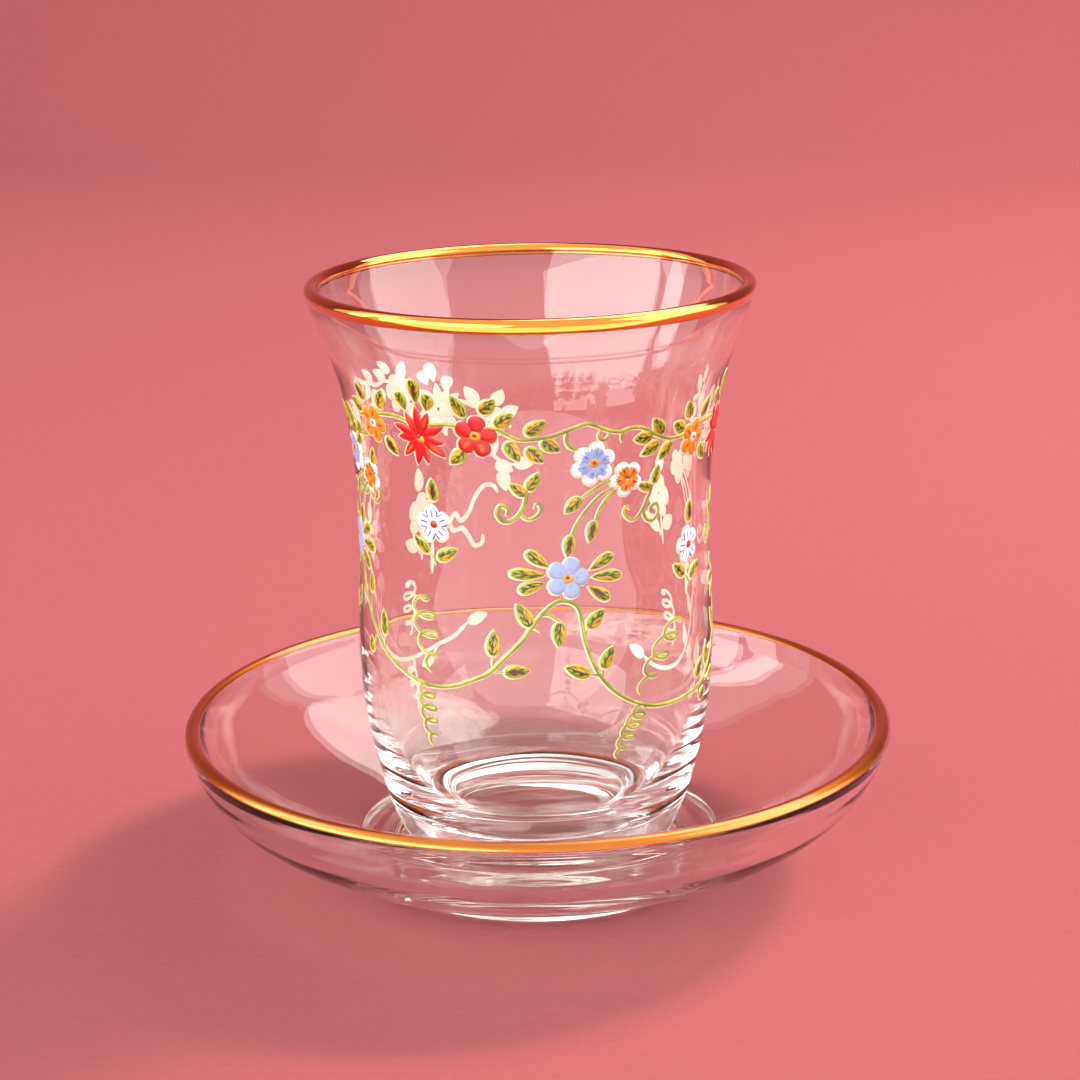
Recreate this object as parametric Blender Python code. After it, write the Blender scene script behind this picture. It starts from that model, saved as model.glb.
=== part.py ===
"""A waisted tea glass with a gilded lip, standing on its own glass saucer.

Both pieces are turned: each outline is a smooth curve through a few (radius, height) stations,
closed into a loop and spun round +Z. Metres, +Z up, origin under the middle of the saucer's foot.
"""

import math

import bmesh
import bpy

SEGMENTS = 64
MM = 0.001
GAP = 0.3 * MM

# Saucer, heights above the table.
SAUCER_RADIUS = 52 * MM
SAUCER_HEIGHT = 22.5 * MM
SAUCER_LIP_RADIUS = 1.25 * MM
FOOT_OUTER = 26 * MM
FOOT_INNER = 21.5 * MM
FOOT_HEIGHT = 1.6 * MM
FOOT_ROUND = 0.5 * MM
WELL_RADIUS = 23.5 * MM
WELL_FLOOR = 4.7 * MM
SAUCER_WALL = 2.8 * MM

# Glass, heights above its own base.
GLASS_BASE_Z = WELL_FLOOR + GAP
GLASS_HEIGHT = 82.2 * MM
BASE_RADIUS = 20.1 * MM
BELLY_RADIUS = 25.87 * MM
WAIST_RADIUS = 25.3 * MM
MOUTH_RADIUS = 32 * MM
LIP_RADIUS = 1.0 * MM
FLOOR_HEIGHT = 3.8 * MM
PUNT_RADIUS = 15.3 * MM
PUNT_DEPTH = 0.8 * MM
BASE_ROUND = 0.7 * MM


def clear_scene():
    for obj in list(bpy.data.objects):
        bpy.data.objects.remove(obj, do_unlink=True)


def smooth_curve(stations, steps):
    """Points of a Catmull-Rom curve through the stations, steps to a span, last station included."""
    ends = [stations[0], *stations, stations[-1]]
    points = []
    for a, b, c, d in zip(ends, ends[1:], ends[2:], ends[3:]):
        for k in range(steps):
            t = k / steps
            points.append(tuple(
                0.5 * (2 * q + (r - p) * t + (2 * p - 5 * q + 4 * r - s) * t * t
                       + (3 * q - p - 3 * r + s) * t ** 3)
                for p, q, r, s in zip(a, b, c, d)))
    points.append(stations[-1])
    return points


def arc(centre, radius, start, end, steps):
    """Points on a circle in the outline's plane, from one angle in degrees to another."""
    angles = [math.radians(start + (end - start) * k / steps) for k in range(steps + 1)]
    return [(centre[0] + radius * math.cos(a), centre[1] + radius * math.sin(a)) for a in angles]


def offset_inwards(points, distance):
    """The curve moved by a distance to the left of its own direction."""
    moved = []
    for k, (r, z) in enumerate(points):
        before = points[max(k - 1, 0)]
        after = points[min(k + 1, len(points) - 1)]
        along = (after[0] - before[0], after[1] - before[1])
        length = math.hypot(*along)
        moved.append((r - along[1] / length * distance, z + along[0] / length * distance))
    return moved


def saucer_outline():
    """From the middle of the underside out over the foot ring, up the bowl, round the lip and back in."""
    foot_bottom = [(0, FOOT_HEIGHT), (FOOT_INNER - FOOT_HEIGHT / 2, FOOT_HEIGHT)]
    foot_bottom += arc((FOOT_INNER + FOOT_ROUND, FOOT_ROUND), FOOT_ROUND, 200, 270, 3)
    foot_bottom += arc((FOOT_OUTER - FOOT_ROUND, FOOT_ROUND), FOOT_ROUND, 270, 340, 3)
    bowl = smooth_curve([
        (FOOT_OUTER + 0.8 * MM, 1.7 * MM),
        (30.5 * MM, 3.1 * MM),
        (35.8 * MM, 5.2 * MM),
        (41.6 * MM, 8.2 * MM),
        (47.0 * MM, 12.2 * MM),
        (50.2 * MM, 16.6 * MM),
        (SAUCER_RADIUS - 0.3 * MM, SAUCER_HEIGHT - SAUCER_LIP_RADIUS - 0.6 * MM),
    ], 2)
    lip_middle = (SAUCER_RADIUS - SAUCER_LIP_RADIUS, SAUCER_HEIGHT - SAUCER_LIP_RADIUS)
    lip = arc(lip_middle, SAUCER_LIP_RADIUS, 0, 160, 5)
    wall = offset_inwards(bowl, SAUCER_WALL)
    inside = [p for p in wall[::-1] if p[1] < SAUCER_HEIGHT - 2 * MM and p[0] > WELL_RADIUS + 3 * MM]
    well = [(WELL_RADIUS, WELL_FLOOR), (0, WELL_FLOOR)]
    return foot_bottom + bowl + lip + inside + well


def glass_outline():
    """From the middle of the base out to the foot, up the waisted side, round the lip and down inside."""
    base = [(0, PUNT_DEPTH), (PUNT_RADIUS - 1.5 * MM, PUNT_DEPTH), (PUNT_RADIUS, 0)]
    base += arc((BASE_RADIUS - BASE_ROUND, BASE_ROUND), BASE_ROUND, 270, 340, 3)
    side = smooth_curve([
        (20.7 * MM, 1.6 * MM),
        (21.8 * MM, 4.2 * MM),
        (23.5 * MM, 10 * MM),
        (24.75 * MM, 16 * MM),
        (25.65 * MM, 22.5 * MM),
        (BELLY_RADIUS, 29.5 * MM),
        (25.65 * MM, 37 * MM),
        (WAIST_RADIUS, 45 * MM),
        (25.55 * MM, 53 * MM),
        (26.25 * MM, 61 * MM),
        (27.65 * MM, 68.5 * MM),
        (30.05 * MM, 75.5 * MM),
        (MOUTH_RADIUS - 0.12 * MM, GLASS_HEIGHT - LIP_RADIUS - 0.5 * MM),
    ], 2)
    lip = arc((MOUTH_RADIUS - LIP_RADIUS, GLASS_HEIGHT - LIP_RADIUS), LIP_RADIUS, 0, 180, 6)
    inside = smooth_curve([
        (29.5 * MM, GLASS_HEIGHT - 3.4 * MM),
        (28.3 * MM, 74.8 * MM),
        (26.0 * MM, 68 * MM),
        (24.55 * MM, 60.5 * MM),
        (23.7 * MM, 53 * MM),
        (23.45 * MM, 45 * MM),
        (23.75 * MM, 37 * MM),
        (23.75 * MM, 29 * MM),
        (23.1 * MM, 21 * MM),
        (21.5 * MM, 13.9 * MM),
        (19.2 * MM, 8.8 * MM),
        (15.6 * MM, 5.5 * MM),
        (11.0 * MM, FLOOR_HEIGHT + 0.35 * MM),
        (6.0 * MM, FLOOR_HEIGHT),
    ], 2)
    outline = base + side + lip + inside + [(0, FLOOR_HEIGHT)]
    return [(r, z + GLASS_BASE_Z) for r, z in outline]


def turned(name, outline, material):
    """The outline, whose two ends lie on +Z, spun into one closed solid."""
    mesh = bpy.data.meshes.new(name)
    bm = bmesh.new()
    rings = []
    for radius, height in outline:
        if radius == 0:
            rings.append([bm.verts.new((0, 0, height))])
            continue
        turns = [2 * math.pi * k / SEGMENTS for k in range(SEGMENTS)]
        rings.append([bm.verts.new((radius * math.cos(a), radius * math.sin(a), height)) for a in turns])
    for lower, upper in zip(rings, rings[1:]):
        for k in range(SEGMENTS):
            n = (k + 1) % SEGMENTS
            if len(lower) == 1:
                bm.faces.new((lower[0], upper[n], upper[k]))
            elif len(upper) == 1:
                bm.faces.new((lower[k], lower[n], upper[0]))
            else:
                bm.faces.new((lower[k], lower[n], upper[n], upper[k]))
    bm.to_mesh(mesh)
    bm.free()
    mesh.shade_smooth()
    mesh.set_sharp_from_angle(angle=math.radians(40))
    mesh.materials.append(material)
    obj = bpy.data.objects.new(name, mesh)
    bpy.context.scene.collection.objects.link(obj)
    return obj


def clear_glass(name, colour):
    material = bpy.data.materials.new(name)
    material.use_nodes = True
    shader = material.node_tree.nodes["Principled BSDF"]
    shader.inputs["Base Color"].default_value = (*colour, 1)
    shader.inputs["Metallic"].default_value = 0
    shader.inputs["Roughness"].default_value = 0.02
    shader.inputs["IOR"].default_value = 1.52
    shader.inputs["Transmission Weight"].default_value = 1
    return material


clear_scene()
turned("saucer", saucer_outline(), clear_glass("saucer_glass", (0.97, 0.985, 0.965)))
turned("glass", glass_outline(), clear_glass("tea_glass", (0.98, 0.99, 0.975)))
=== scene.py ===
"""An empty waisted tea glass with a gilt lip and raised enamel flowers, on its own gilt-lipped saucer.

Metres, +Z up, origin under the middle of the saucer's foot. A place on the glass is an azimuth in
degrees (0 faces the camera, positive to the right) and a height in millimetres above the table.
Enamel is drawn flat, with x across, y up and z out of the glass, and then wrapped round it.
"""

import math

import bpy
from mathutils import Matrix, Vector

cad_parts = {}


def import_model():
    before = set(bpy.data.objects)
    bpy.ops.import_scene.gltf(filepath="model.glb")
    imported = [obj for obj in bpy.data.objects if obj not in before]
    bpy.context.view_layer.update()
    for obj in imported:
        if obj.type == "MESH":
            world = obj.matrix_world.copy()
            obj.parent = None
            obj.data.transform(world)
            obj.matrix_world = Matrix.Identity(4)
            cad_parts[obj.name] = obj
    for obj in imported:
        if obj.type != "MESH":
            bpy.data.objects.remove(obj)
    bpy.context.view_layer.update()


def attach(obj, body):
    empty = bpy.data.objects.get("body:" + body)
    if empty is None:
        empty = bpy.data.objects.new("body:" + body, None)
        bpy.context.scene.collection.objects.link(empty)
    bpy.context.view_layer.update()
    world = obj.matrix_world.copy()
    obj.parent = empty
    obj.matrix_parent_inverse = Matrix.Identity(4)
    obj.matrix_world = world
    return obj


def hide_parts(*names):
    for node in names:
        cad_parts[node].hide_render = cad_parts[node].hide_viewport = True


MM = 0.001
SEGMENTS = 256

# Saucer, heights above the table.
SAUCER_RADIUS = 52 * MM
SAUCER_HEIGHT = 22.5 * MM
SAUCER_LIP_RADIUS = 1.25 * MM
SAUCER_LIP_MIDDLE = (SAUCER_RADIUS - SAUCER_LIP_RADIUS, SAUCER_HEIGHT - SAUCER_LIP_RADIUS)
FOOT_OUTER = 26 * MM
FOOT_INNER = 21.5 * MM
FOOT_HEIGHT = 1.6 * MM
FOOT_ROUND = 0.5 * MM
WELL_RADIUS = 23.5 * MM
WELL_FLOOR = 4.7 * MM
SAUCER_WALL = 2.8 * MM
SAUCER_GOLD_FROM = 14
SAUCER_GOLD_TO = 142

# Glass, heights above its own base.
GLASS_BASE_Z = 5.0 * MM
GLASS_HEIGHT = 82.2 * MM
BASE_RADIUS = 20.1 * MM
BELLY_RADIUS = 25.87 * MM
WAIST_RADIUS = 25.3 * MM
MOUTH_RADIUS = 32 * MM
LIP_RADIUS = 1.0 * MM
FLOOR_HEIGHT = 3.8 * MM
PUNT_RADIUS = 15.3 * MM
PUNT_DEPTH = 0.8 * MM
BASE_ROUND = 0.7 * MM
GOLD_OUTSIDE = 1.9 * MM
GOLD_INSIDE = 2.5 * MM
GOLD_HALF_THICKNESS = 0.05 * MM

# Camera, solved from the rims' ellipses: radians, and millimetres for the lens and its sensor.
EYE = (0, -352.7 * MM, 148.75 * MM)
PITCH = 0.27649
ROLL = -0.0158
PAN = 0.0023
LENS = 83.95
SENSOR_WIDTH = 36

# Enamel. Its drawings unroll at one radius, and places shift at another. Values without MM are in
# millimetres, shares of a whole or powers.
DRAWING_RADIUS = 27 * MM
PLACING_RADIUS_MM = 26.5
GROUND_GAP = 0.01 * MM
PAINT_GAP = 0.016 * MM
GROUND = "ground_"
GROUND_HEIGHT = 0.035
GROUND_CROWN = 0.16
LEAF_GROUND_SHIFT = (-0.18, -0.14, -0.1)
PETAL_GROUND_SHIFT = (-0.08, -0.12, -0.08)
LEAF_GROUND_MARGIN = (0.36, 0.3)
PETAL_GROUND_MARGIN = (0.24, 0.28)
PETAL_START = 0.08
PETAL_LENGTH = 0.92
PAINT_CROWN = 0.42
PAINT_HEIGHTS = {"dot": 0.26, "leaf": 0.15, "drop": 0.15, "petal": 0.19, "ray": 0.2}
DARK_DOT_EXTRA = 0.06
STROKE_STEP = 0.32 * MM
TAPER_LENGTH = 0.9 * MM
TAPER_END = 0.45
THIN = 0.85
LOOP_STEPS = 10
PAST_WALL = 0.1
PAINT_REFLECTS = 0.66
ENAMEL_ROUGHNESS = 0.32
ENAMEL_COAT = 0.25
BRUSH_RELIEF = 0.02 * MM
GOLD_RELIEF = 0.02 * MM
RIM_FROM = 0.7
GLASS_IOR = 1.52
ENAMEL_IOR = 1.5

# Backdrop.
FLOOR_HALF = 3.0
FLOOR_LOW = -0.2 * MM
FLOOR_TURN = 0.8
FLOOR_CURVE = 0.6
FLOOR_TOP = 2.2


def smooth_curve(stations, steps):
    """Points of a Catmull-Rom curve through the stations, steps to a span, last station included."""
    ends = [stations[0], *stations, stations[-1]]
    points = []
    for a, b, c, d in zip(ends, ends[1:], ends[2:], ends[3:]):
        for k in range(steps):
            t = k / steps
            points.append(tuple(
                0.5 * (2 * q + (r - p) * t + (2 * p - 5 * q + 4 * r - s) * t * t
                       + (3 * q - p - 3 * r + s) * t ** 3)
                for p, q, r, s in zip(a, b, c, d)))
    points.append(stations[-1])
    return points


def arc(centre, radius, start, end, steps):
    """Points on a circle in the outline's plane, from one angle in degrees to another."""
    angles = [math.radians(start + (end - start) * k / steps) for k in range(steps + 1)]
    return [(centre[0] + radius * math.cos(a), centre[1] + radius * math.sin(a)) for a in angles]


def offset(points, distance):
    """The curve moved by a distance to the left of its own direction."""
    moved = []
    for k, (r, z) in enumerate(points):
        before = points[max(k - 1, 0)]
        after = points[min(k + 1, len(points) - 1)]
        along = (after[0] - before[0], after[1] - before[1])
        length = math.hypot(*along)
        moved.append((r - along[1] / length * distance, z + along[0] / length * distance))
    return moved


def saucer_outline():
    """From the middle of the underside out over the foot ring, up the bowl, round the lip and back in."""
    foot = [(0, FOOT_HEIGHT), (FOOT_INNER - FOOT_HEIGHT / 2, FOOT_HEIGHT)]
    foot += arc((FOOT_INNER + FOOT_ROUND, FOOT_ROUND), FOOT_ROUND, 200, 270, 6)
    foot += arc((FOOT_OUTER - FOOT_ROUND, FOOT_ROUND), FOOT_ROUND, 270, 340, 6)
    bowl = smooth_curve([
        (FOOT_OUTER + 0.8 * MM, 1.7 * MM),
        (30.5 * MM, 3.1 * MM),
        (35.8 * MM, 5.2 * MM),
        (41.6 * MM, 8.2 * MM),
        (47.0 * MM, 12.2 * MM),
        (50.2 * MM, 16.6 * MM),
        (SAUCER_RADIUS - 0.3 * MM, SAUCER_HEIGHT - SAUCER_LIP_RADIUS - 0.6 * MM),
    ], 7)
    lip = arc(SAUCER_LIP_MIDDLE, SAUCER_LIP_RADIUS, 0, 160, 14)
    wall = offset(bowl, SAUCER_WALL)
    inside = [p for p in wall[::-1] if p[1] < SAUCER_HEIGHT - 2 * MM and p[0] > WELL_RADIUS + 3 * MM]
    well = smooth_curve([
        inside[-1],
        (WELL_RADIUS + 1.2 * MM, WELL_FLOOR + 0.15 * MM),
        (WELL_RADIUS - 1 * MM, WELL_FLOOR),
    ], 4)
    return foot + bowl + lip + inside[:-1] + well + [(0, WELL_FLOOR)]


def glass_parts():
    """The four stretches of the glass's outline: base, outer side, lip and inside, in table heights."""
    base = [(0, PUNT_DEPTH), (PUNT_RADIUS - 1.5 * MM, PUNT_DEPTH)]
    base += smooth_curve([(PUNT_RADIUS - 1.2 * MM, PUNT_DEPTH * 0.92), (PUNT_RADIUS, 0.05 * MM)], 3)
    base += arc((BASE_RADIUS - BASE_ROUND, BASE_ROUND), BASE_ROUND, 270, 340, 6)
    side = smooth_curve([
        (20.7 * MM, 1.6 * MM),
        (21.8 * MM, 4.2 * MM),
        (23.5 * MM, 10 * MM),
        (24.75 * MM, 16 * MM),
        (25.65 * MM, 22.5 * MM),
        (BELLY_RADIUS, 29.5 * MM),
        (25.65 * MM, 37 * MM),
        (WAIST_RADIUS, 45 * MM),
        (25.55 * MM, 53 * MM),
        (26.25 * MM, 61 * MM),
        (27.65 * MM, 68.5 * MM),
        (30.05 * MM, 75.5 * MM),
        (MOUTH_RADIUS - 0.12 * MM, GLASS_HEIGHT - LIP_RADIUS - 0.5 * MM),
    ], 6)
    lip = arc((MOUTH_RADIUS - LIP_RADIUS, GLASS_HEIGHT - LIP_RADIUS), LIP_RADIUS, 0, 180, 16)
    inside = smooth_curve([
        (29.5 * MM, GLASS_HEIGHT - 3.4 * MM),
        (28.3 * MM, 74.8 * MM),
        (26.0 * MM, 68 * MM),
        (24.55 * MM, 60.5 * MM),
        (23.7 * MM, 53 * MM),
        (23.45 * MM, 45 * MM),
        (23.75 * MM, 37 * MM),
        (23.75 * MM, 29 * MM),
        (23.1 * MM, 21 * MM),
        (21.5 * MM, 13.9 * MM),
        (19.2 * MM, 8.8 * MM),
        (15.6 * MM, 5.5 * MM),
        (11.0 * MM, FLOOR_HEIGHT + 0.35 * MM),
        (6.0 * MM, FLOOR_HEIGHT),
    ], 6) + [(0, FLOOR_HEIGHT)]
    return [[(r, z + GLASS_BASE_Z) for r, z in part] for part in (base, side, lip, inside)]


def turned(name, outline, closed=False):
    """The outline spun round +Z: a solid whose ends lie on the axis, or a hoop when it is a loop."""
    turns = [2 * math.pi * (k + 0.5) / SEGMENTS for k in range(SEGMENTS)]
    points, rings, faces = [], [], []
    for radius, height in outline:
        rings.append(list(range(len(points), len(points) + (SEGMENTS if radius else 1))))
        if radius:
            points += [(radius * math.cos(a), radius * math.sin(a), height) for a in turns]
        else:
            points.append((0, 0, height))
    for lower, upper in zip(rings, rings[1:] + rings[:1] if closed else rings[1:]):
        for k in range(SEGMENTS):
            n = (k + 1) % SEGMENTS
            if len(lower) == 1:
                faces.append((lower[0], upper[n], upper[k]))
            elif len(upper) == 1:
                faces.append((lower[k], lower[n], upper[0]))
            else:
                faces.append((lower[k], lower[n], upper[n], upper[k]))
    return piece(name, points, faces)


def piece(name, points, faces, edges=()):
    """A smooth-shaded mesh object with its origin at the frame's own."""
    mesh = bpy.data.meshes.new(name)
    mesh.from_pydata(points, edges, faces)
    mesh.shade_smooth()
    obj = bpy.data.objects.new(name, mesh)
    bpy.context.scene.collection.objects.link(obj)
    return obj


class Value:
    """A node's output that takes part in Python arithmetic by adding Math nodes."""

    def __init__(self, tree, socket):
        self.tree = tree
        self.socket = socket

    def math(self, operation, *others):
        inputs = dict(enumerate((self, *others)))
        return node(self.tree, "ShaderNodeMath", {"operation": operation}, inputs)

    def of(self, output):
        """Another output of the same node."""
        return Value(self.tree, self.socket.node.outputs[output])

    def __add__(self, other):
        return self.math("ADD", other)

    __radd__ = __add__

    def __mul__(self, other):
        return self.math("MULTIPLY", other)

    __rmul__ = __mul__

    def __sub__(self, other):
        return self.math("SUBTRACT", other)

    def __rsub__(self, other):
        return (self * -1) + other

    def __truediv__(self, other):
        return self.math("DIVIDE", other)

    def __abs__(self):
        return self.math("ABSOLUTE")


def feed(tree, target, values):
    """Links a node's inputs to values, and sets the others to plain numbers."""
    for key, value in values.items():
        if isinstance(value, Value):
            tree.links.new(value.socket, target.inputs[key])
        else:
            target.inputs[key].default_value = value


def node(tree, kind, settings=None, values=None, output=0):
    """Adds a node: its settings first, a ramp's stops among them, then its inputs."""
    made = tree.nodes.new(kind)
    for key, setting in (settings or {}).items():
        if key == "stops":
            ramp = made.color_ramp.elements
            for stop, (place, colour) in enumerate(setting):
                element = ramp[stop] if stop < 2 else ramp.new(place)
                element.position = place
                element.color = (*colour, 1)
        else:
            setattr(made, key, setting)
    feed(tree, made, values or {})
    return Value(tree, made.outputs[output]) if made.outputs else made


def xyz(tree, x, y, z):
    return node(tree, "ShaderNodeCombineXYZ", None, {0: x, 1: y, 2: z})


def from_axis(tree, spot):
    """The spot's distance from the axis of glass and saucer."""
    level = node(tree, "ShaderNodeVectorMath", {"operation": "MULTIPLY"}, {0: spot, 1: (1, 1, 0)})
    return node(tree, "ShaderNodeVectorMath", {"operation": "LENGTH"}, {0: level}, "Value")


# Geometry Nodes trees.

def new_tree(name, inputs):
    """A geometry tree with the named inputs, and its inputs as values by name."""
    tree = bpy.data.node_groups.new(name, "GeometryNodeTree")
    tree.interface.new_socket("Geometry", in_out="OUTPUT", socket_type="NodeSocketGeometry")
    for label, kind in {"Geometry": "Geometry", **inputs}.items():
        tree.interface.new_socket(label, in_out="INPUT", socket_type="NodeSocket" + kind)
    entry = node(tree, "NodeGroupInput")
    return tree, {label: entry.of(label) for label in ["Geometry", *inputs]}


def close_tree(tree, geometry, material):
    real = node(tree, "GeometryNodeRealizeInstances", None, {"Geometry": geometry})
    done = node(tree, "GeometryNodeSetMaterial", None, {"Geometry": real, "Material": material})
    node(tree, "NodeGroupOutput", None, {"Geometry": done})


def attribute(tree, name):
    return node(tree, "GeometryNodeInputNamedAttribute", {"data_type": "FLOAT"}, {"Name": name})


def store(tree, geometry, name, value):
    return node(tree, "GeometryNodeStoreNamedAttribute", {"data_type": "FLOAT", "domain": "POINT"},
                {"Geometry": geometry, "Name": name, "Value": value})


def place(tree):
    """The points' own position, as its three numbers."""
    position = node(tree, "GeometryNodeInputPosition")
    parts = node(tree, "ShaderNodeSeparateXYZ", None, {0: position})
    return parts.of("X"), parts.of("Y"), parts.of("Z")


def wrap(tree, geometry, glass):
    """Lays flat enamel on the glass: a ray finds the wall at a point's height, and x turns it round +Z."""
    x, y, z = place(tree)
    target = node(tree, "GeometryNodeObjectInfo", None, {"Object": glass}).of("Geometry")
    ray = node(tree, "GeometryNodeRaycast", None, {
        "Target Geometry": target,
        "Source Position": xyz(tree, 0, -PAST_WALL, y),
        "Ray Direction": (0, 1, 0),
        "Ray Length": PAST_WALL,
    })
    wall = ray.of("Hit Position")
    normal = ray.of("Hit Normal")
    out = node(tree, "ShaderNodeVectorMath", {"operation": "SCALE"}, {0: normal, "Scale": z})
    lifted = node(tree, "ShaderNodeVectorMath", {"operation": "ADD"}, {0: wall, 1: out})
    turned_there = node(tree, "ShaderNodeVectorRotate", {"rotation_type": "Z_AXIS"}, {
        "Vector": lifted,
        "Angle": attribute(tree, "turn") + x / from_axis(tree, wall),
    })
    return node(tree, "GeometryNodeSetPosition", None, {"Geometry": geometry, "Position": turned_there})


def stamping_tree():
    """Sets a stamp at every point, turned and stretched as the point says, and wraps them round."""
    tree, given = new_tree("enamel_stamps", {
        "Stamp": "Object", "Glass": "Object", "Material": "Material",
    })
    pad = node(tree, "GeometryNodeObjectInfo", None, {"Object": given["Stamp"]}).of("Geometry")
    angles = xyz(tree, 0, 0, attribute(tree, "heading"))
    turning = node(tree, "FunctionNodeEulerToRotation", None, {0: angles})
    stamps = node(tree, "GeometryNodeInstanceOnPoints", None, {
        "Points": given["Geometry"],
        "Instance": pad,
        "Rotation": turning,
        "Scale": xyz(tree, attribute(tree, "length"), attribute(tree, "breadth"), 1),
    })
    real = node(tree, "GeometryNodeRealizeInstances", None, {"Geometry": stamps})
    close_tree(tree, wrap(tree, real, given["Glass"]), given["Material"])
    return tree


def stroke_tree():
    """Runs a raised, tapering stroke of enamel along every path and wraps it round the glass."""
    tree, given = new_tree("enamel_strokes", {
        "Glass": "Object", "Material": "Material",
        "Width": "Float", "Height": "Float", "Aside": "Float", "Below": "Float", "Gap": "Float",
    })
    paths = node(tree, "GeometryNodeMeshToCurve", None, {0: given["Geometry"]})
    smooth = node(tree, "GeometryNodeCurveSplineType", {"spline_type": "CATMULL_ROM"}, {"Curve": paths})
    even = node(tree, "GeometryNodeResampleCurve", {"mode": "LENGTH"}, {
        "Curve": smooth, "Length": STROKE_STEP})
    aside = node(tree, "GeometryNodeSetPosition", None, {
        "Geometry": even,
        "Offset": xyz(tree, given["Aside"], given["Below"], 0),
    })
    x, _, _ = place(tree)
    homed = store(tree, store(tree, aside, "home", x), "turn", x / DRAWING_RADIUS)
    along = node(tree, "GeometryNodeSplineParameter")
    from_end = node(tree, "ShaderNodeMath", {"operation": "MINIMUM"}, {
        0: along.of("Length"),
        1: node(tree, "GeometryNodeSplineLength") - along.of("Length"),
    })
    taper = node(tree, "ShaderNodeMapRange", {"interpolation_type": "SMOOTHSTEP"}, {
        "Value": from_end, "From Min": 0, "From Max": TAPER_LENGTH, "To Min": TAPER_END, "To Max": 1,
    })
    upright = node(tree, "GeometryNodeSetCurveNormal", {"mode": "Z_UP"}, {"Curve": homed})
    round_profile = node(tree, "GeometryNodeCurvePrimitiveCircle", None, {"Resolution": 10, "Radius": 1})
    profile_x, profile_y, _ = place(tree)
    profile = store(tree, store(tree, round_profile, "across", profile_x), "over", profile_y)
    tubes = node(tree, "GeometryNodeCurveToMesh", None, {
        "Curve": upright,
        "Profile Curve": profile,
        "Scale": taper * given["Width"] * attribute(tree, "weight") * 0.5,
        "Fill Caps": True,
    })
    x, y, z = place(tree)
    flatness = given["Height"] / (given["Width"] * 0.5)
    over_gap = (z * flatness).math("MAXIMUM", given["Gap"])
    flat = node(tree, "GeometryNodeSetPosition", None, {
        "Geometry": tubes,
        "Position": xyz(tree, x - attribute(tree, "home"), y, over_gap),
    })
    close_tree(tree, wrap(tree, flat, given["Glass"]), given["Material"])
    return tree


def grown(source, name, tree, **inputs):
    """The source's tree evaluated and kept as a plain mesh."""
    modifier = source.modifiers.new("grown", "NODES")
    modifier.node_group = tree
    for item in tree.interface.items_tree:
        if item.in_out == "INPUT" and item.name in inputs:
            modifier[item.identifier] = inputs[item.name]
    view = bpy.context.evaluated_depsgraph_get()
    mesh = bpy.data.meshes.new_from_object(
        source.evaluated_get(view), preserve_all_data_layers=True, depsgraph=view)
    mesh.name = name
    bpy.data.objects.remove(source, do_unlink=True)
    mesh.shade_smooth()
    obj = bpy.data.objects.new(name, mesh)
    bpy.context.scene.collection.objects.link(obj)
    return obj


# Stamps: unit length along x, unit breadth along y.

def stamp(name, edge, height, crown, gap):
    """A closed pad of enamel whose half breadth follows edge(t), with a crowned face and a flat back."""
    along, across = 10, 6
    widest = max(edge(k / 50) for k in range(1, 50))
    points, paint, grid = [], [], {}

    def add(key, point, mark):
        grid[key] = len(points)
        points.append(point)
        paint.append(mark)

    for i in range(along + 1):
        t = (1 - math.cos(math.pi * i / along)) / 2
        half = edge(t) / widest * 0.5 if 0 < i < along else 0
        for j in range(across + 1):
            s = math.sin(math.pi * (j / across - 0.5))
            rim = i in (0, along) or j in (0, across)
            if i in (0, along) and j:
                grid[i, j, 0] = grid[i, j, 1] = grid[i, 0, 0]
                continue
            rise = (max(1 - s * s, 0) * max(1 - (2 * t - 1) ** 4, 0)) ** crown
            add((i, j, 0), (t, s * half, gap + (0 if rim else height * rise)), (t, s, 0.5 if rim else 0))
            if rim:
                grid[i, j, 1] = grid[i, j, 0]
            else:
                add((i, j, 1), (t, s * half, gap), (t, s, 1))
    faces = []
    for i in range(along):
        for j in range(across):
            for side in (0, 1):
                square = ((i, j), (i + 1, j), (i + 1, j + 1), (i, j + 1))
                corners = list(dict.fromkeys(grid[a, b, side] for a, b in square))
                if len(corners) > 2:
                    faces.append(corners if side == 0 else corners[::-1])
    made = piece(name, points, faces)
    marks = made.data.attributes.new("paint", "FLOAT_VECTOR", "POINT")
    marks.data.foreach_set("vector", [number for mark in paint for number in mark])
    return made


EDGES = {
    "leaf": lambda t: t ** 0.55 * (1 - t) ** 0.85,
    "drop": lambda t: t ** 0.95 * (1 - t) ** 0.5,
    "petal": lambda t: t ** 0.6 * (1 - t) ** 0.45,
    "ray": lambda t: t ** 0.45 * (1 - t) ** 0.75,
    "dot": lambda t: (t * (1 - t)) ** 0.5,
}


# Where everything is. Beds collect the points that a stamp is set at, paths the strokes.

beds = {}
paths = {"vine": [], "white_stem": []}


def sow(bed, azimuth, height, heading, length, breadth, tone=0.5):
    """Notes one stamp: which, where, which way its length runs, its size and its tone from 0 to 1."""
    beds.setdefault(bed, []).append((azimuth, height, heading, length, breadth, tone))


def shifted(azimuth, height, heading, along, right=0.0, up=0.0):
    """A place moved by millimetres along a heading, then to the right and up."""
    angle = math.radians(heading)
    across = along * math.cos(angle) + right
    return azimuth + math.degrees(across / PLACING_RADIUS_MM), height + along * math.sin(angle) + up


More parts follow.
